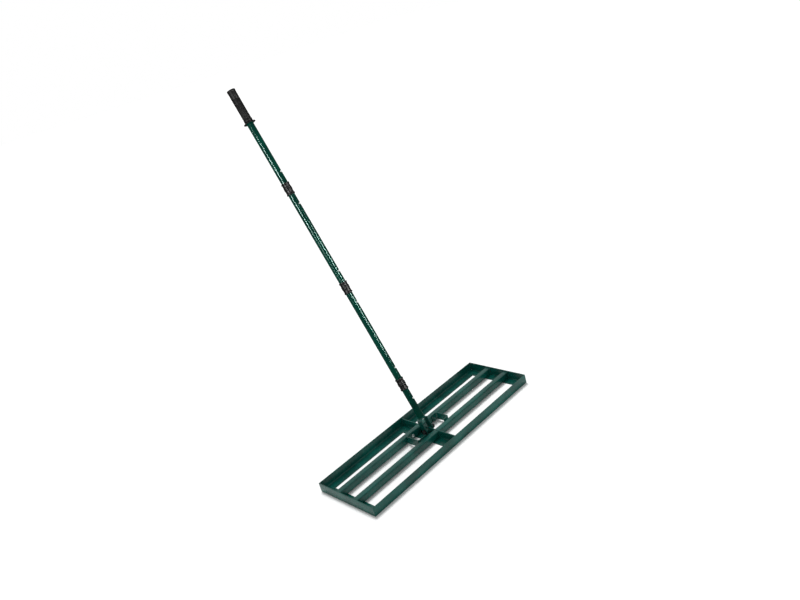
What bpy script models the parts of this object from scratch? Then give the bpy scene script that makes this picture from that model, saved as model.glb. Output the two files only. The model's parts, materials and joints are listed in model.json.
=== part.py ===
# Lawn leveling rake: a flat drag frame of welded angle iron with two inner bars, and a long jointed
# handle of steel tube that pivots over the frame's cross brace.
# Metres, +Z up. The origin is on the ground under the middle of the frame, the long rails run along X,
# and the handle leans back towards +Y.

import math

import bmesh
import bpy
from mathutils import Matrix

# Clearance between pieces that touch, so that their meshes stay apart
GAP = 0.0003

# Drag frame, rolled angle iron with the upright leg outside
FRAME_LENGTH = 0.762
FRAME_WIDTH = 0.254
RAIL_LEG = 0.032
RAIL_WALL = 0.003
ROOT_RADIUS = 0.003
TOE_RADIUS = 0.0015
HEEL_RADIUS = 0.0008

# Inner bars, rectangular tube
BAR_WIDTH = 0.020
BAR_HEIGHT = 0.024
BAR_WALL = 0.0016
BAR_CORNER = 0.0030
BAR_OFFSET = 0.040

# Cross brace, angle iron with its flange on the ground towards -X
BRACE_HEIGHT = 0.0285
BRACE_FLANGE = 0.035
BRACE_WALL = 0.003

# Tie brackets, flat bar bent into a U between the inner bars
TIE_WALL = 0.003
TIE_HEIGHT = 0.0265
TIE_RISE = 0.005
TIE_BEND = 0.0065
TIE_REACH = 0.0765
LEFT_EAR = 0.0365
RIGHT_EAR = 0.0245

# Bolts of the left tie bracket
TIE_BOLT_RADIUS = 0.003
TIE_BOLT_REACH = 0.050
TIE_BOLT_DROP = 0.0075
TIE_HEX = 0.010
TIE_HEAD_HEIGHT = 0.004
TIE_NUT_HEIGHT = 0.005

# What all the bolts share: the thread beyond the nut, the tip's chamfer, and the turned corners of a hexagon
THREAD_SHOW = 0.0015
THREAD_CHAMFER = 0.0006
HEX_CHAMFER_ANGLE = 30
HEX_CHAMFER_BITE = 0.0003

# Pivot of the handle
PIVOT_HEIGHT = 0.018
BUSH_RADIUS = 0.007
BUSH_LENGTH = 0.024
PIVOT_RADIUS = 0.004
PIVOT_HEX = 0.013
PIVOT_HEAD_HEIGHT = 0.0053
PIVOT_NUT_HEIGHT = 0.0065
NUT_COLLAR_HEIGHT = 0.0018
NUT_COLLAR_RADIUS = 0.0060
NUT_COLLAR_EDGE = 0.0007
WASHER_RADIUS = 0.0085
WASHER_THICKNESS = 0.0016

# Yoke at the foot of the handle, flat bar bent into a U over the brace
YOKE_WIDTH = 0.022
YOKE_WALL = 0.004
YOKE_BEND = 0.007
YOKE_TOP = 0.046

# Handle tubes, with distances measured from the pivot along the handle
HANDLE_SLOPE = 67.84
TUBE_RADIUS = 0.0115
TUBE_WALL = 0.0012
FIRST_JOINT = 0.178
JOINT_PITCH = 0.3665
COUPLER_REACH = 0.075
COUPLER_WALL = 0.0012

# Moulded collars at each joint
COLLAR_BELOW = 0.0212
COLLAR_ABOVE = 0.0193
COLLAR_WAIST = 0.0011
COLLAR_RIM = 0.0021
COLLAR_FLARE = 0.0026
COLLAR_BAND = 0.0035
COLLAR_FLARE_TAPER = 0.0020
COLLAR_RIM_TAPER = 0.0033
COLLAR_CHAMFER = 0.0005

# Snap buttons and the leaf springs under them
BUTTON_REACH = 0.0585
BUTTON_RADIUS = 0.00325
BUTTON_HEIGHT = 0.0026
BUTTON_DOME = 0.0012
BUTTON_TRAVEL = 0.004
BUTTON_FLANGE = 0.0011
BUTTON_FLANGE_HEIGHT = 0.001
BUTTON_TURN = 17.5
LEAF_WIDTH = 0.006
LEAF_THICKNESS = 0.0006
LEAF_LENGTH = 0.026
LEAF_BEND = 0.0022

# Moulded grip with a guard flange
GRIP_START = 1.149
GRIP_LENGTH = 0.118
GRIP_WALL = 0.0020
GRIP_END_WALL = 0.004
GRIP_LIP = 0.0008
GRIP_LIP_LENGTH = 0.007
GRIP_EDGE = 0.0012
GRIP_RING = 0.0334
GRIP_RIB_START = 0.0155
GRIP_RIB_LENGTH = 0.050
GRIP_RIB_DEPTH = 0.0009
GRIP_RIBS = 18
GUARD_REACH = 0.0087
GUARD_THICKNESS = 0.004
GUARD_RIM = 0.0018
GUARD_CURL = 0.0006
GUARD_DISH_START = 0.0030

# Steps of a full turn, of a rounded corner and of one rib
ROUND_STEPS = 28
SMALL_STEPS = 16
GRIP_STEPS = 36
ARC_STEPS = 4
RIB_STEPS = 6
# A rib's side is a cosine raised to this power, so that its top and the groove are flatter than a wave
RIB_POWER = 0.6

# What follows from the sizes above
bar_bottom = max(RAIL_WALL, BRACE_WALL) + GAP
bar_top = bar_bottom + BAR_HEIGHT
bar_inner_face = BAR_OFFSET - BAR_WIDTH / 2
rail_inner_face = FRAME_WIDTH / 2 - RAIL_WALL
flange_edge = FRAME_WIDTH / 2 - RAIL_LEG
tie_face = bar_inner_face - GAP
tie_bolt_height = bar_top - TIE_BOLT_DROP
yoke_inner = BUSH_LENGTH / 2 + GAP
yoke_outer = yoke_inner + YOKE_WALL
coupler_radius = TUBE_RADIUS - TUBE_WALL - GAP
coupler_bore = coupler_radius - COUPLER_WALL
sleeve_bore = TUBE_RADIUS + GAP
grip_end = GRIP_START + GRIP_LENGTH
button_flange_radius = BUTTON_RADIUS + BUTTON_FLANGE
button_seat = math.sqrt(coupler_bore**2 - button_flange_radius**2) - GAP
leaf_floor = math.sqrt(coupler_bore**2 - (LEAF_WIDTH / 2) ** 2) - GAP
leaf_top = button_seat - BUTTON_FLANGE_HEIGHT - BUTTON_TRAVEL - GAP
joints = [(name, FIRST_JOINT + step * JOINT_PITCH) for step, name in enumerate(("lower", "middle", "upper"))]

# A section drawn in local XY and extruded along local Z is turned to run along X or along Y
ALONG_X = Matrix(((0, 0, 1), (1, 0, 0), (0, 1, 0))).to_4x4()
ALONG_Y = Matrix.Rotation(math.radians(90), 4, "X")
ALONG_Z = Matrix.Identity(4)


def clear_scene():
    for obj in list(bpy.data.objects):
        bpy.data.objects.remove(obj, do_unlink=True)


def new_collection(name):
    collection = bpy.data.collections.new(name)
    bpy.context.scene.collection.children.link(collection)
    return collection


def new_material(name, colour, roughness, metallic):
    material = bpy.data.materials.new(name)
    material.use_nodes = True
    shader = material.node_tree.nodes["Principled BSDF"]
    shader.inputs["Base Color"].default_value = (*colour, 1.0)
    shader.inputs["Roughness"].default_value = roughness
    shader.inputs["Metallic"].default_value = metallic
    return material


def rounded_outline(corners):
    """Points of a closed outline whose corners, each (x, y, radius), are replaced by arcs."""
    points = []
    count = len(corners)
    for index, (x, y, radius) in enumerate(corners):
        if radius == 0:
            points.append((x, y))
            continue
        before = corners[index - 1]
        after = corners[(index + 1) % count]
        to_before = math.atan2(before[1] - y, before[0] - x)
        to_after = math.atan2(after[1] - y, after[0] - x)
        turn = (to_after - to_before + math.pi) % (2 * math.pi) - math.pi
        half = abs(turn) / 2
        middle = to_before + turn / 2
        centre_x = x + math.cos(middle) * radius / math.sin(half)
        centre_y = y + math.sin(middle) * radius / math.sin(half)
        side = 1 if turn > 0 else -1
        first = to_before - side * math.pi / 2
        sweep = side * (math.pi - abs(turn))
        for step in range(ARC_STEPS + 1):
            angle = first - sweep * step / ARC_STEPS
            points.append((centre_x + radius * math.cos(angle), centre_y + radius * math.sin(angle)))
    return points


def rectangle(width, height, radius):
    """Corners of a rectangle about the origin."""
    x = width / 2
    y = height / 2
    return [(x, -y, radius), (x, y, radius), (-x, y, radius), (-x, -y, radius)]


def circle(radius, steps):
    return [
        (radius * math.cos(2 * math.pi * step / steps), radius * math.sin(2 * math.pi * step / steps))
        for step in range(steps)
    ]


def bent_strip(path, bend, thickness):
    """Outline of a strip of even thickness along a path, bent at each inner corner to the given radius."""
    centre = [path[0]]
    for index in range(1, len(path) - 1):
        corner = [(*path[index - 1], 0), (*path[index], bend), (*path[index + 1], 0)]
        centre += rounded_outline(corner)[1:-1]
    centre.append(path[-1])
    left = []
    right = []
    for index, (x, y) in enumerate(centre):
        before = centre[max(index - 1, 0)]
        after = centre[min(index + 1, len(centre) - 1)]
        along_x = after[0] - before[0]
        along_y = after[1] - before[1]
        length = math.hypot(along_x, along_y)
        offset_x = -along_y / length * thickness / 2
        offset_y = along_x / length * thickness / 2
        left.append((x + offset_x, y + offset_y))
        right.append((x - offset_x, y - offset_y))
    return left + right[::-1]


def add_object(name, mesh, collection, material=None):
    obj = bpy.data.objects.new(name, mesh)
    collection.objects.link(obj)
    if material:
        mesh.materials.append(material)
    return obj


def extruded_mesh(name, outlines, length, turn):
    """Mesh of a flat outline, with any holes after it, extruded to a length that is centred on its plane."""
    curve = bpy.data.curves.new(name, "CURVE")
    curve.dimensions = "2D"
    curve.fill_mode = "BOTH"
    curve.extrude = length / 2
    for outline in outlines:
        spline = curve.splines.new("POLY")
        spline.points.add(len(outline) - 1)
        for point, (x, y) in zip(spline.points, outline):
            point.co = (x, y, 0, 1)
        spline.use_cyclic_u = True
    holder = bpy.data.objects.new(name, curve)
    bpy.context.scene.collection.objects.link(holder)
    graph = bpy.context.evaluated_depsgraph_get()
    mesh = bpy.data.meshes.new_from_object(holder.evaluated_get(graph))
    bpy.data.objects.remove(holder)
    mesh.transform(turn)
    bm = bmesh.new()
    bm.from_mesh(mesh)
    bmesh.ops.remove_doubles(bm, verts=bm.verts, dist=1e-6)
    bmesh.ops.recalc_face_normals(bm, faces=bm.faces)
    bm.to_mesh(mesh)
    bm.free()
    return mesh


def extruded(name, outlines, length, turn, collection, material=None):
    return add_object(name, extruded_mesh(name, outlines, length, turn), collection, material)


def turned(name, profile, steps, collection, material=None, closed=False):
    """Piece turned about its own Z axis, from (radius, height) points that run down its outer side."""
    bm = bmesh.new()
    verts = [bm.verts.new((radius, 0, height)) for radius, height in profile]
    pairs = list(zip(verts, verts[1:]))
    if closed:
        pairs.append((verts[-1], verts[0]))
    for pair in pairs:
        bm.edges.new(pair)
    mesh = bpy.data.meshes.new(name)
    bm.to_mesh(mesh)
    bm.free()
    obj = add_object(name, mesh, collection, material)
    screw = obj.modifiers.new("turn", "SCREW")
    screw.axis = "Z"
    screw.steps = steps
    screw.render_steps = steps
    screw.use_merge_vertices = True
    screw.merge_threshold = 0.00001
    screw.use_smooth_shade = True
    return obj


def tube_profile(outer, inner, bottom, top):
    return [(outer, top), (outer, bottom), (inner, bottom), (inner, top)]


def place(obj, parent=None, location=(0, 0, 0), rotation=(0, 0, 0)):
    obj.parent = parent
    obj.location = location
    obj.rotation_euler = [math.radians(angle) for angle in rotation]
    return obj


def boolean(obj, other, operation="DIFFERENCE"):
    modifier = obj.modifiers.new(other.name, "BOOLEAN")
    modifier.operation = operation
    modifier.solver = "EXACT"
    modifier.object = other


def as_tool(obj):
    """Marks a cutter or a joined form, which is no piece of the object."""
    obj.hide_render = True
    obj.display_type = "WIRE"
    return obj


def drill(name, radius, length, location=(0, 0, 0), rotation=(0, 0, 0), parent=None):
    """Round cutter along its own Z axis, from 0 to its length."""
    profile = [(0, length), (radius, length), (radius, 0), (0, 0)]
    tool = as_tool(turned(name, profile, SMALL_STEPS, cutters))
    return place(tool, parent, location, rotation)


def cope_tool(name, corner, axis, length):
    """Square bar on edge, which takes a slanted corner off a piece that sits over a root fillet."""
    reach = ROOT_RADIUS + 2 * GAP
    side = reach * math.sqrt(2)
    outline = [(side / 2, -side / 2), (side / 2, side / 2), (-side / 2, side / 2), (-side / 2, -side / 2)]
    turn = ALONG_X if axis == "X" else ALONG_Y
    mesh = extruded_mesh(name, [outline], length, turn @ Matrix.Rotation(math.radians(45), 4, "Z"))
    return place(as_tool(add_object(name, mesh, cutters)), location=corner)


def smooth(obj):
    obj.data.shade_smooth()
    obj.data.set_sharp_from_angle(angle=math.radians(35))


def angle_section(leg, flange, wall):
    """Outline of rolled angle iron with its heel at the origin, the flange along +X and the leg up."""
    return rounded_outline(
        [
            (0, 0, HEEL_RADIUS),
            (flange, 0, 0),
            (flange, wall, TOE_RADIUS),
            (wall, wall, ROOT_RADIUS),
            (wall, leg, TOE_RADIUS),
            (0, leg, 0),
        ]
    )


def angle_rail(name, length, location, rotation):
    """Rail along its own X axis with its outer face on the axis, mitred at both ends."""
    mesh = extruded_mesh(name, [angle_section(RAIL_LEG, RAIL_LEG, RAIL_WALL)], length, ALONG_X)
    bm = bmesh.new()
    bm.from_mesh(mesh)
    for side in (1, -1):
        shift = GAP / math.sqrt(2)
        cut = bmesh.ops.bisect_plane(
            bm,
            geom=bm.verts[:] + bm.edges[:] + bm.faces[:],
            plane_co=(side * (length / 2 - shift), 0, 0),
            plane_no=(side, 1, 0),
            clear_outer=True,
        )
        edges = [item for item in cut["geom_cut"] if isinstance(item, bmesh.types.BMEdge)]
        bmesh.ops.contextual_create(bm, geom=edges)
    bmesh.ops.recalc_face_normals(bm, faces=bm.faces)
    bm.to_mesh(mesh)
    bm.free()
    return place(add_object(name, mesh, rake, paint), None, location, rotation)


def add_rails():
    angle_rail("front_rail", FRAME_LENGTH, (0, -FRAME_WIDTH / 2, 0), (0, 0, 0))
    angle_rail("back_rail", FRAME_LENGTH, (0, FRAME_WIDTH / 2, 0), (0, 0, 180))
    angle_rail("left_end_rail", FRAME_WIDTH, (-FRAME_LENGTH / 2, 0, 0), (0, 0, -90))
    angle_rail("right_end_rail", FRAME_WIDTH, (FRAME_LENGTH / 2, 0, 0), (0, 0, 90))


def add_inner_bars():
    """Two bars, each in two lengths that butt against the brace and sit on the end rails' flanges."""
    outer = rounded_outline(rectangle(BAR_WIDTH, BAR_HEIGHT, BAR_CORNER))
    inner_size = (BAR_WIDTH - 2 * BAR_WALL, BAR_HEIGHT - 2 * BAR_WALL, BAR_CORNER - BAR_WALL)
    inner = rounded_outline(rectangle(*inner_size))
    inside_end = BRACE_WALL / 2 + GAP
    outside_end = FRAME_LENGTH / 2 - RAIL_WALL - GAP
    length = outside_end - inside_end
    cope_length = 2 * (BAR_OFFSET + BAR_WIDTH)
    end_corner = (FRAME_LENGTH / 2 - RAIL_WALL, 0, RAIL_WALL)
    right_cope = cope_tool("right_end_cope", end_corner, "Y", cope_length)
    left_cope = cope_tool("left_end_cope", (-end_corner[0], 0, RAIL_WALL), "Y", cope_length)
    brace_cope = cope_tool("brace_cope", (-BRACE_WALL / 2, 0, BRACE_WALL), "Y", cope_length)
    bars = {}
    for row, row_side in (("back", 1), ("front", -1)):
        for end, end_side in (("left", -1), ("right", 1)):
            name = f"{row}_inner_bar_{end}"
            bar = extruded(name, [outer, inner], length, ALONG_X, rake, paint)
            middle = end_side * (inside_end + length / 2)
            place(bar, None, (middle, row_side * BAR_OFFSET, bar_bottom + BAR_HEIGHT / 2))
            boolean(bar, right_cope if end == "right" else left_cope)
            if end == "left":
                boolean(bar, brace_cope)
            smooth(bar)
            bars[row, end] = bar
    return bars


def add_cross_brace():
    """Angle across the frame, coped to sit over the long rails' flanges, bored for the pivot bush."""
    section = angle_section(BRACE_HEIGHT, BRACE_FLANGE, BRACE_WALL)
    # The flange points to -X, so the section is mirrored
    section = [(BRACE_WALL / 2 - x, z) for x, z in section]
    reach = rail_inner_face - GAP
    brace = extruded("cross_brace", [section], 2 * reach, ALONG_Y, rake, paint)
    under = RAIL_WALL + GAP
    leg_face = -BRACE_WALL / 2
    far = 2 * BRACE_FLANGE
    notch = [(-far, -under), (far, -under), (far, under), (leg_face, under), (leg_face, far), (-far, far)]
    for name, side in (("back_notch", 1), ("front_notch", -1)):
        depth = 2 * RAIL_LEG
        tool = as_tool(extruded(name, [notch], depth, ALONG_Y, cutters))
        place(tool, None, (0, side * (flange_edge - GAP + depth / 2), 0))
        boolean(brace, tool)
        cope = cope_tool(f"{name}_cope", (0, side * rail_inner_face, RAIL_WALL), "X", 2 * far)
        boolean(brace, cope)
    bore = drill(
        "bush_bore",
        BUSH_RADIUS + GAP,
        BUSH_LENGTH,
        (-BUSH_LENGTH / 2, 0, PIVOT_HEIGHT),
        (0, 90, 0),
    )
    boolean(brace, bore)
    smooth(brace)


def add_tie_bracket(name, side, ear):
    """Flat bar bent to a U that opens towards the brace, with its ears along the inner bars."""
    web = TIE_REACH - TIE_WALL / 2
    ear_end = TIE_REACH - ear
    ear_line = tie_face - TIE_WALL / 2
    path = [
        (side * ear_end, ear_line),
        (side * web, ear_line),
        (side * web, -ear_line),
        (side * ear_end, -ear_line),
    ]
    bracket = extruded(name, [bent_strip(path, TIE_BEND, TIE_WALL)], TIE_HEIGHT, ALONG_Z, rake, paint)
    place(bracket, None, (0, 0, bar_top + TIE_RISE - TIE_HEIGHT / 2))
    smooth(bracket)
    return bracket


def hexagon(name, material, across_flats, height, bore=0):
    """Hexagonal head or nut from 0 up to its height, with its upper corners turned off."""
    corner = across_flats / math.sqrt(3)
    holes = [circle(bore, SMALL_STEPS)] if bore else []
    standing = Matrix.Translation((0, 0, height / 2))
    obj = extruded(name, [circle(corner, 6)] + holes, height, standing, rake, material)
    flat_top = across_flats / 2 - HEX_CHAMFER_BITE
    slope = math.tan(math.radians(HEX_CHAMFER_ANGLE))
    wide = corner + GAP
    low = height - (wide - flat_top) * slope
    above = height + GAP
    profile = [(0, above), (flat_top - GAP / slope, above), (wide, low), (wide, -GAP), (0, -GAP)]
    chamfer = as_tool(turned(f"{name}_chamfer", profile, 2 * SMALL_STEPS, cutters))
    chamfer.parent = obj
    boolean(obj, chamfer, "INTERSECT")
    return obj


def add_shank(bolt, radius, length):
    """Joins a round shank below a head, down to minus the given length, with a chamfered tip."""
    overlap = radius / 2
    profile = [
        (0, overlap),
        (radius, overlap),
        (radius, THREAD_CHAMFER - length),
        (radius - THREAD_CHAMFER, -length),
        (0, -length),
    ]
    shank = as_tool(turned(f"{bolt.name}_shank", profile, SMALL_STEPS, cutters))
    shank.parent = bolt
    boolean(bolt, shank, "UNION")


def add_tie_bolts(bracket, bars):
    """Bolts through the left bracket's ears into nuts welded inside the inner bars."""
    drill_reach = BAR_OFFSET
    bore = drill(
        "tie_bore",
        TIE_BOLT_RADIUS + GAP,
        2 * drill_reach,
        (-TIE_BOLT_REACH, drill_reach, tie_bolt_height),
        (90, 0, 0),
    )
    for obj in (bracket, bars["back", "left"], bars["front", "left"]):
        boolean(obj, bore)
    head_seat = tie_face - TIE_WALL - GAP
    nut_seat = bar_inner_face + BAR_WALL + GAP
    shank = nut_seat + TIE_NUT_HEIGHT + THREAD_SHOW - head_seat
    for row, side in (("back", 1), ("front", -1)):
        # The heads face each other, so each bolt's own Z axis points to the frame's centre line
        bolt = hexagon(f"{row}_tie_bolt", zinc, TIE_HEX, TIE_HEAD_HEIGHT)
        add_shank(bolt, TIE_BOLT_RADIUS, shank)
        turn = (side * 90, 0, 0)
        place(bolt, None, (-TIE_BOLT_REACH, side * head_seat, tie_bolt_height), turn)
        smooth(bolt)
        nut = hexagon(f"{row}_tie_nut", zinc, TIE_HEX, TIE_NUT_HEIGHT, TIE_BOLT_RADIUS + GAP)
        place(nut, None, (-TIE_BOLT_REACH, side * nut_seat, tie_bolt_height), (-side * 90, 0, 0))


def add_pivot(pivot):
    """Bush welded into the brace, and the bolt, washers and locking nut that clamp the yoke to it."""
    bush_profile = tube_profile(BUSH_RADIUS, PIVOT_RADIUS + GAP, -BUSH_LENGTH / 2, BUSH_LENGTH / 2)
    bush = turned("pivot_bush", bush_profile, ROUND_STEPS, rake, paint, closed=True)
    place(bush, None, (0, 0, PIVOT_HEIGHT), (0, 90, 0))
    washer_profile = tube_profile(WASHER_RADIUS, PIVOT_RADIUS + GAP, 0, WASHER_THICKNESS)
    seat = yoke_outer + GAP
    for name, side in (("pivot_washer_left", -1), ("pivot_washer_right", 1)):
        washer = turned(name, washer_profile, ROUND_STEPS, rake, blackened, closed=True)
        place(washer, pivot, (side * seat, 0, 0), (0, side * 90, 0))
    clamp = seat + WASHER_THICKNESS + GAP
    bolt = hexagon("pivot_bolt", blackened, PIVOT_HEX, PIVOT_HEAD_HEIGHT)
    nut_height = PIVOT_NUT_HEIGHT + NUT_COLLAR_HEIGHT
    add_shank(bolt, PIVOT_RADIUS, 2 * clamp + nut_height + THREAD_SHOW)
    place(bolt, pivot, (-clamp, 0, 0), (0, -90, 0))
    smooth(bolt)
    nut = hexagon("pivot_nut", blackened, PIVOT_HEX, PIVOT_NUT_HEIGHT, PIVOT_RADIUS + GAP)
    # The ring that holds the locking insert rises from halfway up the hexagon, so that the two are one body
    ring_profile = [
        (NUT_COLLAR_RADIUS - NUT_COLLAR_EDGE, nut_height),
        (NUT_COLLAR_RADIUS, nut_height - NUT_COLLAR_EDGE),
        (NUT_COLLAR_RADIUS, PIVOT_NUT_HEIGHT / 2),
        (PIVOT_RADIUS + 2 * GAP, PIVOT_NUT_HEIGHT / 2),
        (PIVOT_RADIUS + GAP, nut_height),
    ]
    collar = as_tool(turned("nut_collar", ring_profile, SMALL_STEPS, cutters, closed=True))
    collar.parent = nut
    boolean(nut, collar, "UNION")
    place(nut, pivot, (clamp, 0, 0), (0, 90, 0))


def add_yoke(pivot):
    """Strap bent over the brace, with round ends about the pivot and a flat crown under the tube."""
    side = (yoke_inner + yoke_outer) / 2
    crown = YOKE_TOP - YOKE_WALL / 2
    foot = -YOKE_WIDTH / 2
    path = [(-side, foot), (-side, crown), (side, crown), (side, foot)]
    strap = bent_strip(path, YOKE_BEND, YOKE_WALL)
    yoke = extruded("foot_yoke", [strap], YOKE_WIDTH, ALONG_Y, rake, paint)
    half = YOKE_WIDTH / 2
    steps = ROUND_STEPS // 2
    end = [
        (half * math.cos(math.pi * (1 + step / steps)), half * math.sin(math.pi * (1 + step / steps)))
        for step in range(steps + 1)
    ]
    side_view = end + [(half, 2 * YOKE_TOP), (-half, 2 * YOKE_TOP)]
    limit = as_tool(extruded("yoke_side_view", [side_view], 4 * yoke_outer, ALONG_X, cutters))
    limit.parent = yoke
    boolean(yoke, limit, "INTERSECT")
    bore = drill(
        "yoke_bore",
        PIVOT_RADIUS + GAP,
        4 * yoke_outer,
        (-2 * yoke_outer, 0, 0),
        (0, 90, 0),
        yoke,
    )
    boolean(yoke, bore)
    yoke.parent = pivot
    smooth(yoke)


def add_tubes(pivot):
    """Four lengths of tube, end to end, and the coupler inside each joint."""
    bore = TUBE_RADIUS - TUBE_WALL
    starts = [YOKE_TOP + GAP] + [height + GAP / 2 for name, height in joints]
    ends = [height - GAP / 2 for name, height in joints] + [grip_end - GRIP_END_WALL - GAP]
    tubes = []
    for name, start, end in zip(("stub_tube", "lower_tube", "middle_tube", "upper_tube"), starts, ends):
        profile = tube_profile(TUBE_RADIUS, bore, start, end)
        tube = turned(name, profile, ROUND_STEPS, rake, paint, closed=True)
        tube.parent = pivot
        tubes.append(tube)
    couplers = []
    for name, height in joints:
        profile = tube_profile(
            coupler_radius,
            coupler_bore,
            height - COUPLER_REACH,
            height + COUPLER_REACH,
        )
        coupler = turned(f"{name}_coupler", profile, ROUND_STEPS, rake, zinc, closed=True)
        coupler.parent = pivot
        couplers.append(coupler)
    return tubes, couplers


def collar_profile(length):
    """Ring whose lower end meets the joint, drawn in at the waist and flared at the far end."""
    waist = sleeve_bore + COLLAR_WAIST
    rim = sleeve_bore + COLLAR_RIM
    flare = sleeve_bore + COLLAR_FLARE
    return [
        (flare - COLLAR_CHAMFER, length),
        (flare, length - COLLAR_CHAMFER),
        (flare, length - COLLAR_BAND),
        (waist, length - COLLAR_BAND - COLLAR_FLARE_TAPER),
        (waist, COLLAR_BAND + COLLAR_RIM_TAPER),
        (rim, COLLAR_BAND),
        (rim, COLLAR_CHAMFER),
        (rim - COLLAR_CHAMFER, 0),
        (sleeve_bore, 0),
        (sleeve_bore, length),
    ]


def add_collars(pivot):
    for name, height in joints:
        for where, length, side, flip in (("above", COLLAR_ABOVE, 1, 0), ("below", COLLAR_BELOW, -1, 180)):
            profile = collar_profile(length)
            title = f"{name}_joint_collar_{where}"
            collar = turned(title, profile, ROUND_STEPS, rake, plastic, closed=True)
            place(collar, pivot, (0, 0, height + side * GAP / 2), (flip, 0, 0))


def button_profile():
    """Round button with a domed end, and a flange that stops it against the coupler's bore."""
    shoulder = TUBE_RADIUS + BUTTON_HEIGHT - BUTTON_DOME
    quarter = [math.pi / 2 * step / ARC_STEPS for step in range(ARC_STEPS + 1)]
    arc = [(BUTTON_RADIUS * math.sin(angle), shoulder + BUTTON_DOME * math.cos(angle)) for angle in quarter]
    bottom = button_seat - BUTTON_FLANGE_HEIGHT
    return arc + [
        (BUTTON_RADIUS, button_seat),
        (button_flange_radius, button_seat),
        (button_flange_radius, bottom),
        (0, bottom),
    ]


def leaf_outline():
    """Side view of the bent leaf: one leg along the bore's far side, the other up to under the button."""
    half = LEAF_THICKNESS / 2
    floor = -leaf_floor + half
    roof = leaf_top - half
    middle = (floor + roof) / 2
    tip = button_flange_radius
    path = [
        (tip, roof),
        (0, roof),
        (-LEAF_LENGTH, middle),
        (-LEAF_LENGTH, floor),
        (tip, floor),
    ]
    return bent_strip(path, LEAF_BEND, LEAF_THICKNESS)


def add_buttons(pivot, tubes, couplers):
    """At each joint one button holds the tube below to the coupler, and one the tube above."""
    profile = button_profile()
    for index, (name, height) in enumerate(joints):
        for where, side in (("below", -1), ("above", 1)):
            along = height + side * BUTTON_REACH
            turn = (90, 0, BUTTON_TURN)
            button = turned(f"{name}_button_{where}", profile, SMALL_STEPS, rake, steel)
            place(button, pivot, (0, 0, along), turn)
            bore = drill(
                f"{name}_{where}_bore",
                BUTTON_RADIUS + GAP,
                2 * TUBE_RADIUS,
                (0, 0, along),
                turn,
                pivot,
            )
            boolean(tubes[index + (side > 0)], bore)
            boolean(couplers[index], bore)
            # The leaf's bend points to the joint, where the coupler has room for it
            outline = [(side * x, y) for x, y in leaf_outline()]
            leaf = extruded(f"{name}_spring_{where}", [outline], LEAF_WIDTH, ALONG_X, rake, steel)
            place(leaf, pivot, (0, 0, along), turn)


def grip_profile():
    """Grip from its closed end down to the guard flange, then back up its bore."""
    body = sleeve_bore + GRIP_WALL
    core = body - GRIP_RIB_DEPTH
    lip = body + GRIP_LIP
    # Where a quarter round of the edge's radius is cut at 45 degrees
    half_edge = GRIP_EDGE * (1 - math.sqrt(0.5))
    guard = sleeve_bore + GUARD_REACH
    ribs_bottom = GRIP_START + GRIP_RIB_START
    ribs_top = ribs_bottom + GRIP_RIB_LENGTH
    ring = grip_end - GRIP_RING
    flange_top = GRIP_START + GUARD_THICKNESS
    return [
        (0, grip_end),
        (lip - GRIP_EDGE, grip_end),
        (lip - half_edge, grip_end - half_edge),
        (lip, grip_end - GRIP_EDGE),
        (lip, grip_end - GRIP_LIP_LENGTH + GRIP_EDGE),
        (body, grip_end - GRIP_LIP_LENGTH),
        (body, ring + GRIP_LIP),
        (body - GRIP_LIP, ring),
        (body, ring - GRIP_LIP),
        (body, ribs_top + GRIP_RIB_DEPTH),
        (core, ribs_top),
        (core, ribs_bottom),
        (lip, ribs_bottom - GRIP_EDGE),
        (lip, flange_top + 2 * GRIP_EDGE),
        (core, flange_top + GRIP_EDGE),
        (core, flange_top),
        (guard - GUARD_RIM, flange_top),
        (guard, flange_top - GUARD_RIM),
        (guard, GRIP_START),
        (guard - GUARD_CURL, GRIP_START - GUARD_CURL),
        (guard - GUARD_RIM, GRIP_START - GUARD_CURL),
        (guard - GUARD_DISH_START, GRIP_START + GUARD_CURL),
        (sleeve_bore, GRIP_START + GUARD_CURL),
        (sleeve_bore, grip_end - GRIP_END_WALL),
        (0, grip_end - GRIP_END_WALL),
    ]


def rib_outline():
    """Ribs around the grip, as a radius that rises and falls evenly round the turn."""
    points = []
    middle = sleeve_bore + GRIP_WALL - GRIP_RIB_DEPTH / 2
    count = GRIP_RIBS * RIB_STEPS
    for step in range(count):
        angle = 2 * math.pi * step / count
        wave = math.cos(GRIP_RIBS * angle)
        radius = middle + GRIP_RIB_DEPTH / 2 * math.copysign(abs(wave) ** RIB_POWER, wave) + GAP
        points.append((radius * math.cos(angle), radius * math.sin(angle)))
    return points


def add_grip(pivot):
    grip = turned("grip", grip_profile(), GRIP_STEPS, rake, plastic)
    # The ribs are joined to the grip as a ring that starts halfway into the wall under them
    hole = circle(sleeve_bore + (GRIP_WALL - GRIP_RIB_DEPTH) / 2, GRIP_STEPS)
    # They run a little past their stretch, into the plain body above and the collar below
    length = GRIP_RIB_LENGTH + GRIP_RIB_DEPTH / 2
    middle = GRIP_START + GRIP_RIB_START + GRIP_RIB_LENGTH / 2
    ribs = as_tool(extruded("grip_ribs", [rib_outline(), hole], length, ALONG_Z, cutters))
    place(ribs, grip, (0, 0, middle))
    boolean(grip, ribs, "UNION")
    grip.parent = pivot


clear_scene()
rake = new_collection("lawn_leveling_rake")
cutters = new_collection("cutters")
paint = new_material("green_enamel", (0.030, 0.105, 0.088), 0.42, 0.0)
plastic = new_material("black_plastic", (0.016, 0.017, 0.018), 0.55, 0.0)
steel = new_material("bright_steel", (0.72, 0.74, 0.74), 0.25, 1.0)
zinc = new_material("zinc_plate", (0.62, 0.65, 0.65), 0.35, 1.0)
blackened = new_material("blackened_steel", (0.035, 0.038, 0.040), 0.45, 1.0)

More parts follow.
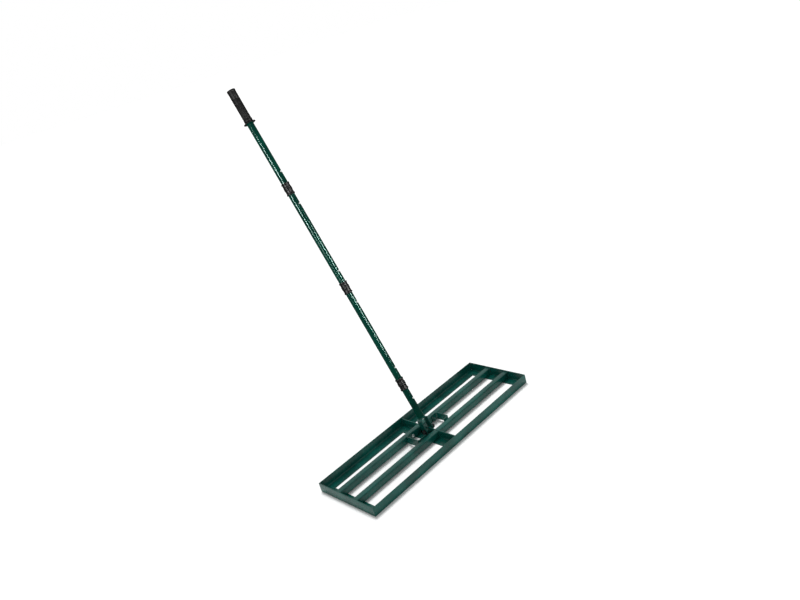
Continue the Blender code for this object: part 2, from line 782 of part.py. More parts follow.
# Everything that tilts hangs on this empty, whose Z axis runs up the handle
handle_pivot = bpy.data.objects.new("handle_pivot", None)
rake.objects.link(handle_pivot)
place(handle_pivot, None, (0, 0, PIVOT_HEIGHT), (HANDLE_SLOPE - 90, 0, 0))

add_rails()
inner_bars = add_inner_bars()
add_cross_brace()
left_bracket = add_tie_bracket("left_tie_bracket", -1, LEFT_EAR)
add_tie_bracket("right_tie_bracket", 1, RIGHT_EAR)
add_tie_bolts(left_bracket, inner_bars)
add_pivot(handle_pivot)
add_yoke(handle_pivot)
handle_tubes, joint_couplers = add_tubes(handle_pivot)
add_collars(handle_pivot)
add_buttons(handle_pivot, handle_tubes, joint_couplers)
add_grip(handle_pivot)
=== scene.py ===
# Lawn leveling rake: stoved enamel, moulded plastic and plating on finished pieces
import json
import math

import bmesh
import bpy
from mathutils import Matrix, Vector

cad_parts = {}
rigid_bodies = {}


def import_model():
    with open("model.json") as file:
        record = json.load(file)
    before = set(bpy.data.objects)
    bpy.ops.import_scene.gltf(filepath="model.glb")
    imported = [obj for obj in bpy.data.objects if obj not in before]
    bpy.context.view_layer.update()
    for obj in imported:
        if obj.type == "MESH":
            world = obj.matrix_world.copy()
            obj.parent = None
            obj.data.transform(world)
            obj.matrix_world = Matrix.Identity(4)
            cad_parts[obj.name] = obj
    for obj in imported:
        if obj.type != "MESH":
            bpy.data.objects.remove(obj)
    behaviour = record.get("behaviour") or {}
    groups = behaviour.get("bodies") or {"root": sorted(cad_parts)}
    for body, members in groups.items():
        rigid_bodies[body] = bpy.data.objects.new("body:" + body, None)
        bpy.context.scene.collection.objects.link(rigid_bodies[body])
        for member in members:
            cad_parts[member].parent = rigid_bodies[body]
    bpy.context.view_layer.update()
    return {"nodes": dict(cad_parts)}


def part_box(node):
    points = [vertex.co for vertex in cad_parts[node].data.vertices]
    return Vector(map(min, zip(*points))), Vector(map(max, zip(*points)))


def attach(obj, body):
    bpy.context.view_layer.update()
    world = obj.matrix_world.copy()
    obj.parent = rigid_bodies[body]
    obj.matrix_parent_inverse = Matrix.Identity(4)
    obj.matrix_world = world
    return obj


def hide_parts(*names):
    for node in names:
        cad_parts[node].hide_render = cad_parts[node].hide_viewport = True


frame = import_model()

scene = bpy.context.scene
scene.view_settings.view_transform = "Standard"
mm = 0.001
perMetre = 1000  # a texture's scale is this over its pattern's size in mm
noiseSpan = {"From Min": 0.3, "From Max": 0.7}  # where most of a noise texture's values lie
print("frame loaded,", len(frame["nodes"]), "nodes")


def linearColour(text):  # sRGB hex to the linear values that a socket takes
    channels = [int(text[i:i + 2], 16) / 255 for i in (1, 3, 5)]
    curve = [c / 12.92 if c <= 0.04045 else ((c + 0.055) / 1.055) ** 2.4 for c in channels]
    return (*curve, 1.0)


def addNode(tree, kind, sockets=None, **settings):  # a socket gets a value, or another node's link
    node = tree.nodes.new(kind)
    for key, value in settings.items():
        setattr(node, key, value)
    for key, value in (sockets or {}).items():
        if isinstance(value, bpy.types.NodeSocket):
            tree.links.new(value, node.inputs[key])
        else:
            node.inputs[key].default_value = value
    return node


def newMaterial(name, **values):  # constants go straight onto the shader's own sockets
    material = bpy.data.materials.new(name)
    material.use_nodes = True
    tree = material.node_tree
    shader = tree.nodes["Principled BSDF"]
    for key, value in values.items():
        shader.inputs[key.replace("_", " ")].default_value = value
    place = addNode(tree, "ShaderNodeTexCoord").outputs["Object"]
    return material, tree, shader, place


enamel = {
    "railDeep": "#06463E",    # where the coat lies thick
    "railFace": "#08544B",
    "railThin": "#0E655A",    # where it drew thin over the steel
    "tubeDeep": "#02392E",    # the tube's own batch, a little greener
    "tubeFace": "#034437",
    "tubeThin": "#055040",
    "railSheen": "#FFFFFF",   # tint of the gloss
    "tubeSheen": "#D2F4EC",   # the photograph's lines of light on the pole are a little green
    "drift": 70,              # mm between thick and thin places
    "thickEnd": 0.32,         # the drift noise's values at which thick and thin are complete
    "thinEnd": 0.72,
    "haze": 12,               # mm between duller and glossier places
    "glossiest": 0.9,         # shares of the roughness there
    "dullest": 1.12,
    "peel": 2.4,              # mm between ripples; the real 1 to 2 drawn coarser to show
    "peelDepth": 0.02,        # mm
    "nib": 0.9,               # mm between dust nibs under the coat
    "nibSize": 0.12,          # radius as a share of that distance
    "nibRise": 0.3,           # height as a share of the ripple's
}


def stovedEnamel(name, part, rough, gloss, peelShare):
    # gloss enamel sprayed on steel and stoved: deep green, faintly rippled, soft broad reflections
    sheen = linearColour(enamel[f"{part}Sheen"])
    material, tree, shader, place = newMaterial(
        name, IOR=1.5, Specular_IOR_Level=gloss, Specular_Tint=sheen)
    drift = addNode(tree, "ShaderNodeTexNoise", {
        "Vector": place, "Scale": perMetre / enamel["drift"], "Detail": 3.0})
    coat = addNode(tree, "ShaderNodeValToRGB", {"Fac": drift.outputs["Fac"]})
    thick, thin = coat.color_ramp.elements
    thick.position, thin.position = enamel["thickEnd"], enamel["thinEnd"]
    thick.color = linearColour(enamel[f"{part}Deep"])
    thin.color = linearColour(enamel[f"{part}Thin"])
    middle = coat.color_ramp.elements.new(0.5)
    middle.color = linearColour(enamel[f"{part}Face"])
    tree.links.new(coat.outputs["Color"], shader.inputs["Base Color"])
    haze = addNode(tree, "ShaderNodeTexNoise", {
        "Vector": place, "Scale": perMetre / enamel["haze"], "Detail": 4.0, "Roughness": 0.65})
    dull = addNode(tree, "ShaderNodeMapRange", {
        "Value": haze.outputs["Fac"], **noiseSpan,
        "To Min": rough * enamel["glossiest"], "To Max": rough * enamel["dullest"]})
    tree.links.new(dull.outputs["Result"], shader.inputs["Roughness"])
    peel = addNode(tree, "ShaderNodeTexNoise", {
        "Vector": place, "Scale": perMetre / enamel["peel"], "Detail": 1.0})
    nib = addNode(tree, "ShaderNodeTexVoronoi", {
        "Vector": place, "Scale": perMetre / enamel["nib"]})
    speck = addNode(tree, "ShaderNodeMath", {
        0: nib.outputs["Distance"], 1: enamel["nibSize"]}, operation="LESS_THAN")
    height = addNode(tree, "ShaderNodeMath", {
        0: speck.outputs[0], 1: enamel["nibRise"], 2: peel.outputs["Fac"],
    }, operation="MULTIPLY_ADD")
    ripple = addNode(tree, "ShaderNodeBump", {
        "Height": height.outputs[0], "Strength": 1.0,
        "Distance": enamel["peelDepth"] * peelShare * mm})
    tree.links.new(ripple.outputs["Normal"], shader.inputs["Normal"])
    return material


moulding = {
    "grain": 0.6,             # mm between the tool's spark pits; the real 0.1 drawn coarser to show
    "flow": 16,               # mm, streaks where the melt flowed
    "rub": 7,                 # mm between places polished by handling
    "glossiest": 0.88,        # shares of the roughness there
    "dullest": 1.12,
}


def mouldedPlastic(name, dark, light, rough, gloss, grainDepth):
    # injection-moulded black plastic: near black, a fine even grain that greys the highlights
    material, tree, shader, place = newMaterial(name, IOR=1.5, Specular_IOR_Level=gloss)
    flow = addNode(tree, "ShaderNodeTexNoise", {
        "Vector": place, "Scale": perMetre / moulding["flow"], "Detail": 3.0})
    blend = addNode(tree, "ShaderNodeMix", {"Factor": flow.outputs["Fac"]}, data_type="RGBA")
    blend.inputs[6].default_value = linearColour(dark)
    blend.inputs[7].default_value = linearColour(light)
    tree.links.new(blend.outputs[2], shader.inputs["Base Color"])
    rub = addNode(tree, "ShaderNodeTexNoise", {
        "Vector": place, "Scale": perMetre / moulding["rub"], "Detail": 5.0, "Roughness": 0.6})
    sheen = addNode(tree, "ShaderNodeMapRange", {
        "Value": rub.outputs["Fac"], **noiseSpan,
        "To Min": rough * moulding["glossiest"], "To Max": rough * moulding["dullest"]})
    tree.links.new(sheen.outputs["Result"], shader.inputs["Roughness"])
    grain = addNode(tree, "ShaderNodeTexVoronoi", {
        "Vector": place, "Scale": perMetre / moulding["grain"]})
    pits = addNode(tree, "ShaderNodeBump", {
        "Height": grain.outputs["Distance"], "Strength": 1.0, "Distance": grainDepth * mm})
    tree.links.new(pits.outputs["Normal"], shader.inputs["Normal"])
    return material


tumbling = {
    "marks": 0.8,             # mm between fine marks, coarser than real to show
    "smoother": 0.05,         # how far they take the roughness either way
    "duller": 0.09,
}


def metalFinish(name, dark, light, rough, cloud, scratchDepth):
    # bare or plated steel: tumbled, so it has faint clouds and fine marks in every direction
    material, tree, shader, place = newMaterial(name, Metallic=1.0)
    clouds = addNode(tree, "ShaderNodeTexNoise", {
        "Vector": place, "Scale": perMetre / cloud, "Detail": 4.0, "Roughness": 0.6})
    blend = addNode(tree, "ShaderNodeMix", {"Factor": clouds.outputs["Fac"]}, data_type="RGBA")
    blend.inputs[6].default_value = linearColour(dark)
    blend.inputs[7].default_value = linearColour(light)
    tree.links.new(blend.outputs[2], shader.inputs["Base Color"])
    marks = addNode(tree, "ShaderNodeTexNoise", {
        "Vector": place, "Scale": perMetre / tumbling["marks"], "Detail": 5.0, "Roughness": 0.7})
    gloss = addNode(tree, "ShaderNodeMapRange", {
        "Value": marks.outputs["Fac"], **noiseSpan,
        "To Min": rough - tumbling["smoother"], "To Max": rough + tumbling["duller"]})
    tree.links.new(gloss.outputs["Result"], shader.inputs["Roughness"])
    dents = addNode(tree, "ShaderNodeBump", {
        "Height": marks.outputs["Fac"], "Strength": 1.0, "Distance": scratchDepth * mm})
    tree.links.new(dents.outputs["Normal"], shader.inputs["Normal"])
    return material


# rolled angle and bar, sprayed thickly: a soft gloss that greys the upper faces
railEnamel = stovedEnamel(
    "stovedEnamelOnRolledSteel", "rail", rough=0.26, gloss=0.27, peelShare=1.0)
# drawn tube, smooth under a thin even coat: narrow clean lines of light
tubeEnamel = stovedEnamel(
    "stovedEnamelOnDrawnTube", "tube", rough=0.12, gloss=0.035, peelShare=0.05)
# weld beads, where the paint pools between the ripples: a little glossier
weldEnamel = stovedEnamel(
    "stovedEnamelOverWeld", "rail", rough=0.24, gloss=0.3, peelShare=1.5)
# moulded nylon collars: near black, with a satin sheen
nylon = mouldedPlastic(
    "mouldedNylon", "#070707", "#0E0E0E", rough=0.40, gloss=0.033, grainDepth=0.012)
# moulded soft vinyl grip: near black, dull, with a coarser grain
vinyl = mouldedPlastic(
    "mouldedVinyl", "#090909", "#111111", rough=0.55, gloss=0.026, grainDepth=0.04)
# nickel-plated snap buttons: bright and almost white
nickel = metalFinish(
    "nickelPlatedSteel", "#D2D6D4", "#ECEFED", rough=0.22, cloud=3, scratchDepth=0.002)
# bright zinc on bolts, weld nuts and couplers: pale, with faint grey clouds
zinc = metalFinish(
    "brightZincPlate", "#C6CECC", "#E2E7E5", rough=0.26, cloud=4, scratchDepth=0.003)
# oiled black oxide on the pivot's fasteners: dark and half dull
blackOxide = metalFinish(
    "blackenedSteel", "#202222", "#303333", rough=0.42, cloud=5, scratchDepth=0.004)
# bare tempered leaves: mid grey metal
springSteel = metalFinish(
    "temperedSpringSteel", "#6E7478", "#8E9496", rough=0.30, cloud=6, scratchDepth=0.002)
print("materials made")


def cornerArc(before, corner, after, radius, steps):  # points that round one corner of a path
    x, y = corner
    toBefore = math.atan2(before[1] - y, before[0] - x)
    toAfter = math.atan2(after[1] - y, after[0] - x)
    turn = (toAfter - toBefore + math.pi) % (2 * math.pi) - math.pi
    half = abs(turn) / 2
    middle = toBefore + turn / 2
    centreX = x + math.cos(middle) * radius / math.sin(half)
    centreY = y + math.sin(middle) * radius / math.sin(half)
    side = 1 if turn > 0 else -1
    first = toBefore - side * math.pi / 2
    sweep = side * (math.pi - abs(turn))
    angles = [first - sweep * step / steps for step in range(steps + 1)]
    return [(centreX + radius * math.cos(a), centreY + radius * math.sin(a)) for a in angles]


def roundedOutline(corners, steps=6):  # closed outline from (x, y, radius) corners
    points = []
    for index, (x, y, radius) in enumerate(corners):
        after = corners[(index + 1) % len(corners)]
        before = corners[index - 1]
        points += cornerArc(before, (x, y), after, radius, steps) if radius else [(x, y)]
    return points


def finishPiece(name, bm, material, body, place, sharp):
    mesh = bpy.data.meshes.new(name)
    bm.to_mesh(mesh)
    bm.free()
    if place is not None:
        mesh.transform(place)
    mesh.shade_smooth()
    mesh.set_sharp_from_angle(angle=math.radians(sharp))
    mesh.materials.append(material)
    piece = bpy.data.objects.new(name, mesh)
    scene.collection.objects.link(piece)
    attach(piece, body)
    return piece


def loftRings(name, rings, material, body, wrap=False, caps=True, place=None, sharp=32):
    bm = bmesh.new()  # skins a row of rings that all have the same count of points
    loops = [[bm.verts.new(point) for point in ring] for ring in rings]
    pairs = list(zip(loops, loops[1:]))
    if wrap:
        pairs.append((loops[-1], loops[0]))
    for lower, upper in pairs:
        for index in range(len(lower)):
            after = (index + 1) % len(lower)
            bm.faces.new((lower[index], lower[after], upper[after], upper[index]))
    if caps and not wrap:
        bm.faces.new(loops[0][::-1])
        bm.faces.new(loops[-1])
    bmesh.ops.remove_doubles(bm, verts=bm.verts, dist=1e-6)
    bmesh.ops.recalc_face_normals(bm, faces=bm.faces)
    return finishPiece(name, bm, material, body, place, sharp)


def circleRing(radius, height, steps):
    size = max(radius, 1e-7)
    angles = [2 * math.pi * step / steps for step in range(steps)]
    return [(size * math.cos(a), size * math.sin(a), height) for a in angles]


def turnProfile(name, profile, material, body, steps, place=None, wrap=False, sharp=32):
    rings = [circleRing(radius, height, steps) for radius, height in profile]
    return loftRings(name, rings, material, body, wrap, False, place, sharp)


def standFor(node):
    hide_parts(node)


def refinish(node, material):  # a solid whose shape is right keeps its mesh
    slots = frame["nodes"][node].data.materials
    slots.clear()
    slots.append(material)


rail = {
    "length": 762 * mm,
    "width": 254 * mm,
    "leg": 32 * mm,
    "wall": 3 * mm,
    "root": 3 * mm,           # fillet inside the angle
    "toe": 1.6 * mm,          # rounded toe of each leg
    "heel": 0.9 * mm,
    "edge": 0.3 * mm,         # outer corner of each toe
    "gap": 0.3 * mm,          # between the mitred ends
    "eased": 0.6 * mm,        # arris of the saw cut, softened by grinding
    "drawnIn": 0.02,          # share by which the cut face shrinks towards the wall's middle
}


def makeRail(name, length, x, y, degrees):
    outline = roundedOutline([
        (0, 0, rail["heel"]),
        (rail["leg"], 0, rail["edge"]),
        (rail["leg"], rail["wall"], rail["toe"]),
        (rail["wall"], rail["wall"], rail["root"]),
        (rail["wall"], rail["leg"], rail["toe"]),
        (0, rail["leg"], rail["edge"]),
    ])
    shift = rail["gap"] / math.sqrt(2)
    centre = rail["wall"] / 2
    rings = []
    for side, back in ((-1, 0), (-1, 1), (1, 1), (1, 0)):
        ring = []
        for across, up in outline:
            reach = length / 2 - shift - across - back * rail["eased"]  # the mitre at 45 degrees
            if not back:
                across += (centre - across) * rail["drawnIn"]
                up += (centre - up) * rail["drawnIn"]
            ring.append((side * reach, across, up))
        rings.append(ring)
    place = Matrix.Translation((x, y, 0)) @ Matrix.Rotation(math.radians(degrees), 4, "Z")
    piece = loftRings(f"{name}_rolled", rings, railEnamel, "head", place=place, sharp=40)
    standFor(name)


makeRail("front_rail", rail["length"], 0, -rail["width"] / 2, 0)
makeRail("back_rail", rail["length"], 0, rail["width"] / 2, 180)
makeRail("left_end_rail", rail["width"], -rail["length"] / 2, 0, -90)
makeRail("right_end_rail", rail["width"], rail["length"] / 2, 0, 90)
print("four rails made")

bar = {
    "width": 20 * mm,
    "height": 24 * mm,
    "wall": 1.6 * mm,
    "corner": 3 * mm,
    "innerCorner": 0.6 * mm,  # least radius inside the tube
    "cope": 3.2 * mm,         # corner taken off over the fillet that the bar's end sits on
    "eased": 0.3 * mm,
}


def barOutline(inset):
    y = bar["width"] / 2 - inset
    z = bar["height"] / 2 - inset
    radius = max(bar["corner"] - inset, bar["innerCorner"])
    return roundedOutline([(y, -z, radius), (y, z, radius), (-y, z, radius), (-y, -z, radius)])


def makeBar(name):
    low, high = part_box(name)
    centre = (low + high) / 2
    outer, eased, inner = barOutline(0), barOutline(bar["eased"]), barOutline(bar["wall"])
    rings = []
    for outline, side, back in (
        (inner, -1, 0), (eased, -1, 0), (outer, -1, bar["eased"]),
        (outer, 1, bar["eased"]), (eased, 1, 0), (inner, 1, 0),
    ):
        coped = side > 0 or centre.x < 0  # the right bars butt square against the brace
        ring = []
        for y, z in outline:
            cope = max(0, bar["cope"] - (z + bar["height"] / 2)) if coped else 0
            end = high.x - back - cope if side > 0 else low.x + back + cope
            ring.append((end, centre.y + y, centre.z + z))
        rings.append(ring)
    piece = loftRings(f"{name}_section", rings, railEnamel, "head", wrap=True, sharp=40)
    standFor(name)


for row in ("back", "front"):
    for end in ("left", "right"):
        makeBar(f"{row}_inner_bar_{end}")
print("inner bars made")

tie = {
    "wall": 3 * mm,
    "bend": 6.5 * mm,
    "eased": 0.45 * mm,
    "bendSteps": 10,
}


def stripRing(path, thickness, height):  # bent strip's outline, same points at any thickness
    centre = [path[0]]
    for before, corner, after in zip(path, path[1:], path[2:]):
        centre += cornerArc(before, corner, after, tie["bend"], tie["bendSteps"])
    centre.append(path[-1])
    left, right = [], []
    for index, (x, y) in enumerate(centre):
        before = Vector(centre[max(index - 1, 0)])
        after = Vector(centre[min(index + 1, len(centre) - 1)])
        along = (after - before).normalized() * thickness / 2
        left.append((x - along.y, y + along.x, height))
        right.append((x + along.y, y - along.x, height))
    return left + right[::-1]


def makeTie(name, side):
    low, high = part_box(name)
    web = side * (max(abs(low.x), abs(high.x)) - tie["wall"] / 2)
    end = side * min(abs(low.x), abs(high.x))
    line = high.y - tie["wall"] / 2
    path = [(end, line), (web, line), (web, -line), (end, -line)]
    eased = tie["eased"]
    rings = [
        stripRing(path, tie["wall"] - 2 * eased, low.z),
        stripRing(path, tie["wall"], low.z + eased),
        stripRing(path, tie["wall"], high.z - eased),
        stripRing(path, tie["wall"] - 2 * eased, high.z),
    ]
    piece = loftRings(f"{name}_bent", rings, railEnamel, "head", sharp=30)
    standFor(name)


makeTie("left_tie_bracket", -1)
makeTie("right_tie_bracket", 1)
for node in ("cross_brace", "pivot_bush"):
    refinish(node, railEnamel)
for node in ("back_tie_nut", "front_tie_nut", "lower_coupler", "middle_coupler", "upper_coupler"):
    refinish(node, zinc)
for joint in ("lower", "middle", "upper"):
    for where in ("above", "below"):
        refinish(f"{joint}_spring_{where}", springSteel)
print("brackets made, brace, bush, couplers and springs refinished")

boltForm = {
    "steps": 48,
    "chamfer": 0.577,         # slope of a turned hexagon corner, 30 degrees
    "bite": 0.95,             # share of the flats that the chamfer's circle leaves
    "recess": 0.94,           # forged dish in the head, as a share of its height
    "threadDepth": 0.5,       # share of the pitch
    "dish": 0.34,             # radius of the dish's floor and rim, as shares of the flats
    "dishRim": 0.38,
    "underside": 0.25 * mm,   # chamfer under the head
    "tip": 0.4 * mm,          # chamfer at the end of the thread
}


def hexRing(acrossFlats, height, reach):  # hexagon with its corners cut back to a circle
    ring = []
    for step in range(boltForm["steps"]):
        angle = 2 * math.pi * step / boltForm["steps"]
        fromFlat = (angle + math.pi / 6) % (math.pi / 3) - math.pi / 6
        radius = min(acrossFlats / 2 / math.cos(fromFlat), reach)
        ring.append((radius * math.cos(angle), radius * math.sin(angle), height))
    return ring


def makeBolt(node, sizes, material, body, place):
    # one skin from the head's dish to the threaded tip; the underside of the head is at Z = 0
    steps = boltForm["steps"]
    flats, head, radius, pitch = sizes["flats"], sizes["head"], sizes["radius"], sizes["pitch"]
    corner = flats / math.sqrt(3)
    inside = flats / 2 * boltForm["bite"]
    low = head * boltForm["recess"]
    dish = [(0, low), (flats * boltForm["dish"], low), (flats * boltForm["dishRim"], head)]
    rings = [circleRing(size, height, steps) for size, height in dish]
    for share in (0, 0.35, 0.7, 1):
        reach = inside + (corner - inside) * share
        rings.append(hexRing(flats, head - (reach - inside) * boltForm["chamfer"], reach))
    under = boltForm["underside"]
    rings += [hexRing(flats, under, corner), hexRing(flats, 0, corner - under)]
    threadTop = sizes["thread"] - sizes["length"]
    rings += [circleRing(radius, 0, steps), circleRing(radius, threadTop, steps)]
    turns = int(sizes["thread"] / pitch - 1)
    for quarter in range(1, 4 * turns):
        ring = []
        for step in range(steps):
            lead = (step / steps + quarter / 4) % 1
            size = radius - pitch * boltForm["threadDepth"] * (1 - abs(2 * lead - 1))
            angle = 2 * math.pi * step / steps
            height = threadTop - quarter * pitch / 4
            ring.append((size * math.cos(angle), size * math.sin(angle), height))
        rings.append(ring)
    core = radius - pitch * boltForm["threadDepth"]
    tip = -sizes["length"]
    bevel = boltForm["tip"]
    rings += [circleRing(core, tip + bevel, steps), circleRing(core - bevel, tip, steps)]
    rings.append(circleRing(0, tip, steps))
    piece = loftRings(f"{node}_threaded", rings, material, body, caps=False, place=place, sharp=28)
    standFor(node)


tieBolt = {
    "flats": 10 * mm,
    "head": 4 * mm,
    "radius": 3 * mm,
    "pitch": 1 * mm,
    "length": 15 * mm,
    "thread": 12 * mm,
}
for row, side in (("back", 1), ("front", -1)):
    low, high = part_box(f"{row}_tie_bolt")
    centre = (low + high) / 2
    seat = side * (min(abs(low.y), abs(high.y)) + tieBolt["head"])
    tipped = Matrix.Rotation(math.radians(side * 90), 4, "X")
    place = Matrix.Translation((centre.x, seat, centre.z)) @ tipped
    makeBolt(f"{row}_tie_bolt", tieBolt, zinc, "head", place)
print("tie bolts made")

pole = {
    "slope": 67.84,           # degrees above the ground
    "pivotHeight": 18 * mm,
    "radius": 11.5 * mm,
    "wall": 1.2 * mm,
    "foot": 46 * mm,          # from the pivot, along the pole
    "joints": {"lower": 178 * mm, "middle": 544.5 * mm, "upper": 911 * mm},
    "buttonReach": 58.5 * mm,
    "buttonTurn": 17.5,       # degrees round the pole, from its front
    "top": 1267 * mm,
    "endWall": 4 * mm,
    "gap": 0.3 * mm,
    "eased": 0.25 * mm,
    "hole": 3.55 * mm,        # radius of a button's hole
    "drill": 20 * mm,         # long enough for one wall, short of the other
    "steps": 72,
}
lean = Matrix.Rotation(math.radians(pole["slope"] - 90), 4, "X")
poleFrame = Matrix.Translation((0, 0, pole["pivotHeight"])) @ lean
roundPole = Matrix.Rotation(math.radians(pole["buttonTurn"]), 4, "Z")
outward = roundPole @ Matrix.Rotation(math.radians(90), 4, "X")


def drillHole(piece, place, radius, length):  # cuts a round hole along the placement's Z axis
    bm = bmesh.new()
    bmesh.ops.create_cone(
        bm, cap_ends=True, segments=48, radius1=radius, radius2=radius, depth=length)
    mesh = bpy.data.meshes.new("drill")
    bm.to_mesh(mesh)
    bm.free()
    mesh.transform(place @ Matrix.Translation((0, 0, length / 2)))
    drill = bpy.data.objects.new("drill", mesh)
    scene.collection.objects.link(drill)
    cut = piece.modifiers.new("hole", "BOOLEAN")
    cut.object = drill
    cut.solver = "EXACT"
    bpy.context.view_layer.update()
    graph = bpy.context.evaluated_depsgraph_get()
    bored = bpy.data.meshes.new_from_object(piece.evaluated_get(graph))
    plain = piece.data
    piece.modifiers.clear()
    piece.data = bored
    bored.shade_smooth()
    bored.set_sharp_from_angle(angle=math.radians(32))
    bpy.data.objects.remove(drill)
    bpy.data.meshes.remove(plain)


def makeTube(name, start, end, holes):
    outer = pole["radius"]
    inner = outer - pole["wall"]
    eased = pole["eased"]
    profile = [
        (outer - eased, end), (outer, end - eased), (outer, start + eased), (outer - eased, start),
        (inner + eased, start), (inner, start + eased), (inner, end - eased), (inner + eased, end),
    ]
    piece = turnProfile(
        f"{name}_drawn", profile, tubeEnamel, "handle", pole["steps"], poleFrame, True)
    for height in holes:
        place = poleFrame @ Matrix.Translation((0, 0, height)) @ outward
        drillHole(piece, place, pole["hole"], pole["drill"])
    standFor(name)


lowerJoint, middleJoint, upperJoint = pole["joints"].values()
reach = pole["buttonReach"]
half = pole["gap"] / 2
tubeTop = pole["top"] - pole["endWall"] - pole["gap"]
for name, start, end, holes in (
    ("stub_tube", pole["foot"] + pole["gap"], lowerJoint - half,
     [lowerJoint - reach]),
    ("lower_tube", lowerJoint + half, middleJoint - half,
     [lowerJoint + reach, middleJoint - reach]),
    ("middle_tube", middleJoint + half, upperJoint - half,
     [middleJoint + reach, upperJoint - reach]),
    ("upper_tube", upperJoint + half, tubeTop,
     [upperJoint + reach]),
):
    makeTube(name, start, end, holes)
print("tubes made")

button = {
    "radius": 3.25 * mm,
    "rise": 2.6 * mm,         # above the tube
    "dome": 1.2 * mm,
    "seat": 7.35 * mm,        # stop flange, from the pole's axis
    "flange": 4.3 * mm,
    "flangeHeight": 1 * mm,
    "steps": 40,
}


def makeButton(name, height, body):
    radius, flange, seat = button["radius"], button["flange"], button["seat"]
    shoulder = pole["radius"] + button["rise"] - button["dome"]
    foot = seat - button["flangeHeight"]
    quarter = [math.pi / 2 * step / 8 for step in range(9)]
    profile = [(radius * math.sin(a), shoulder + button["dome"] * math.cos(a)) for a in quarter]
    profile += [
        (radius, seat), (flange - 0.3 * mm, seat), (flange, seat - 0.3 * mm),
        (flange, foot + 0.2 * mm), (flange - 0.2 * mm, foot), (0, foot),
    ]
    place = poleFrame @ Matrix.Translation((0, 0, height)) @ outward
    piece = turnProfile(f"{name}_plated", profile, nickel, body, button["steps"], place)
    standFor(name)


collar = {
    "bore": 11.8 * mm,
    "waist": 12.9 * mm,
    "rim": 13.9 * mm,
    "flare": 14.4 * mm,
    "band": 3.5 * mm,
    "flareTaper": 2.0 * mm,
    "rimTaper": 3.3 * mm,
    "above": 19.3 * mm,
    "below": 21.2 * mm,
}


def collarProfile(length):  # plain rim at the joint, drawn-in waist, flared band at the far end
    bore, waist, rim = collar["bore"], collar["waist"], collar["rim"]
    flare, band = collar["flare"], collar["band"]
    shoulder = flare - 0.1 * mm
    profile = [
        (bore + 0.3 * mm, length), (flare - 0.6 * mm, length),
        (flare - 0.15 * mm, length - 0.2 * mm), (flare, length - 0.6 * mm),
        (flare, length - band + 0.4 * mm), (shoulder, length - band),
    ]
    for step in range(1, 9):
        ease = (1 + math.cos(math.pi * step / 8)) / 2
        height = length - band - collar["flareTaper"] * step / 8
        profile.append((waist + (shoulder - waist) * ease, height))
    for step in range(9):
        ease = (1 - math.cos(math.pi * step / 8)) / 2
        profile.append((waist + (rim - waist) * ease, band + collar["rimTaper"] * (1 - step / 8)))
    profile += [(rim, 0.4 * mm), (rim - 0.12 * mm, 0.12 * mm), (rim - 0.4 * mm, 0)]
    return profile + [(bore + 0.2 * mm, 0), (bore, 0.2 * mm), (bore, length - 0.3 * mm)]


for joint, height in pole["joints"].items():
    for where, side in (("above", 1), ("below", -1)):
        makeButton(f"{joint}_button_{where}", height + side * reach, f"button_{joint}_{where}")
        flip = Matrix.Rotation(0 if side > 0 else math.pi, 4, "X")
        place = poleFrame @ Matrix.Translation((0, 0, height + side * half)) @ flip
        node = f"{joint}_joint_collar_{where}"
        profile = collarProfile(collar[where])
        piece = turnProfile(
            f"{node}_moulded", profile, nylon, "handle", pole["steps"], place, True, 30)
        standFor(node)
print("buttons and collars made")

grip = {
    "start": 1149 * mm,
    "bore": 11.8 * mm,
    "body": 13.8 * mm,
    "lip": 14.35 * mm,
    "lipLength": 7 * mm,
    "edge": 1.2 * mm,
    "ring": 33.4 * mm,        # from the end down to the groove round the body
    "ringDepth": 0.8 * mm,
    "ribStart": 15.5 * mm,    # from the guard's lower side
    "ribLength": 50 * mm,
    "ribs": 18,
    "ribDepth": 0.9 * mm,
    "ribFade": 1.6 * mm,      # run-out at each end of a rib
    "ribShape": 0.6,          # below 1 flattens the ribs and their grooves
    "guard": 20.45 * mm,
    "guardThick": 4 * mm,
    "rimThick": 2 * mm,       # the guard thins towards its rim
    "curl": 0.6 * mm,         # the guard's rim turns down by this much
}


def gripRadius(height, angle):  # ribbed body's radius, height taken from the guard's lower side
    ribTop = grip["ribStart"] + grip["ribLength"]
    if grip["ribStart"] <= height <= ribTop:
        fade = min(1, min(height - grip["ribStart"], ribTop - height) / grip["ribFade"])
        wave = math.cos(grip["ribs"] * angle)
        level = (1 + math.copysign(abs(wave) ** grip["ribShape"], wave)) / 2
        return grip["body"] - grip["ribDepth"] * (1 - level * fade)
    return grip["body"]


